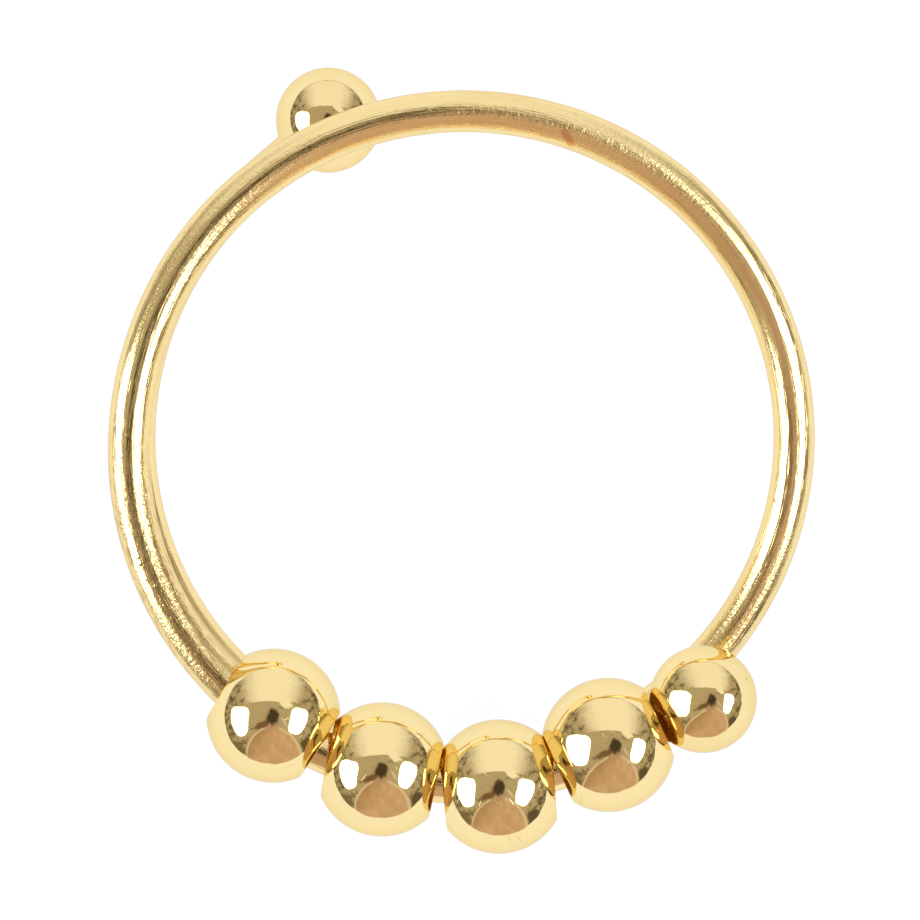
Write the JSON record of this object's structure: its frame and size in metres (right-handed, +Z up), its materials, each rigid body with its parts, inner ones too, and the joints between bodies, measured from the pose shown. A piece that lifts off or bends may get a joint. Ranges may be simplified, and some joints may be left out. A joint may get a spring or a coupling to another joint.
{
  "type": "fidget ring",
  "caption": "Open-coil finger ring of polished gold-coloured wire with a ball at each end and drilled ball beads that slide along the upper turn; lies on its side.",
  "frame": {"origin": "bottom centre of the whole ring's box, on the surface that the ring lies on", "axes": "+Z up out of the surface, close to the coil's axis; -Y towards the beads; +X towards the side where the wire drops from the upper to the lower turn"},
  "size_m": [0.0212, 0.0238, 0.0055],
  "materials": {
    "gold_wire": "polished yellow gold plating on drawn wire, with fine draw lines and small pits",
    "gold_bead": "mirror polished yellow gold plating with a few fine scratches"
  },
  "bodies": {
    "coil": {"coil_band": "gold_wire"},
    "bead_1": {"bead_1": "gold_bead"},
    "bead_2": {"bead_2": "gold_bead"},
    "bead_3": {"bead_3": "gold_bead"},
    "bead_4": {"bead_4": "gold_bead"}
  },
  "joints": [
    {"name": "bead_4_slide", "type": "hinge", "parent": "coil", "child": "bead_4", "pos_m": [0, 0.0002, 0.004], "axis": [0, 0.0497, -0.9988], "range_deg": [0, 49]},
    {"name": "bead_3_slide", "type": "hinge", "parent": "bead_4", "child": "bead_3", "pos_m": [0, 0.0002, 0.004], "axis": [0, 0.0497, -0.9988], "range_deg": [0, 20]},
    {"name": "bead_2_slide", "type": "hinge", "parent": "bead_3", "child": "bead_2", "pos_m": [0, 0.0002, 0.004], "axis": [0, 0.0497, -0.9988], "range_deg": [0, 20]},
    {"name": "bead_1_slide", "type": "hinge", "parent": "bead_2", "child": "bead_1", "pos_m": [0, 0.0002, 0.004], "axis": [0, 0.0497, -0.9988], "range_deg": [0, 20]}
  ]
}
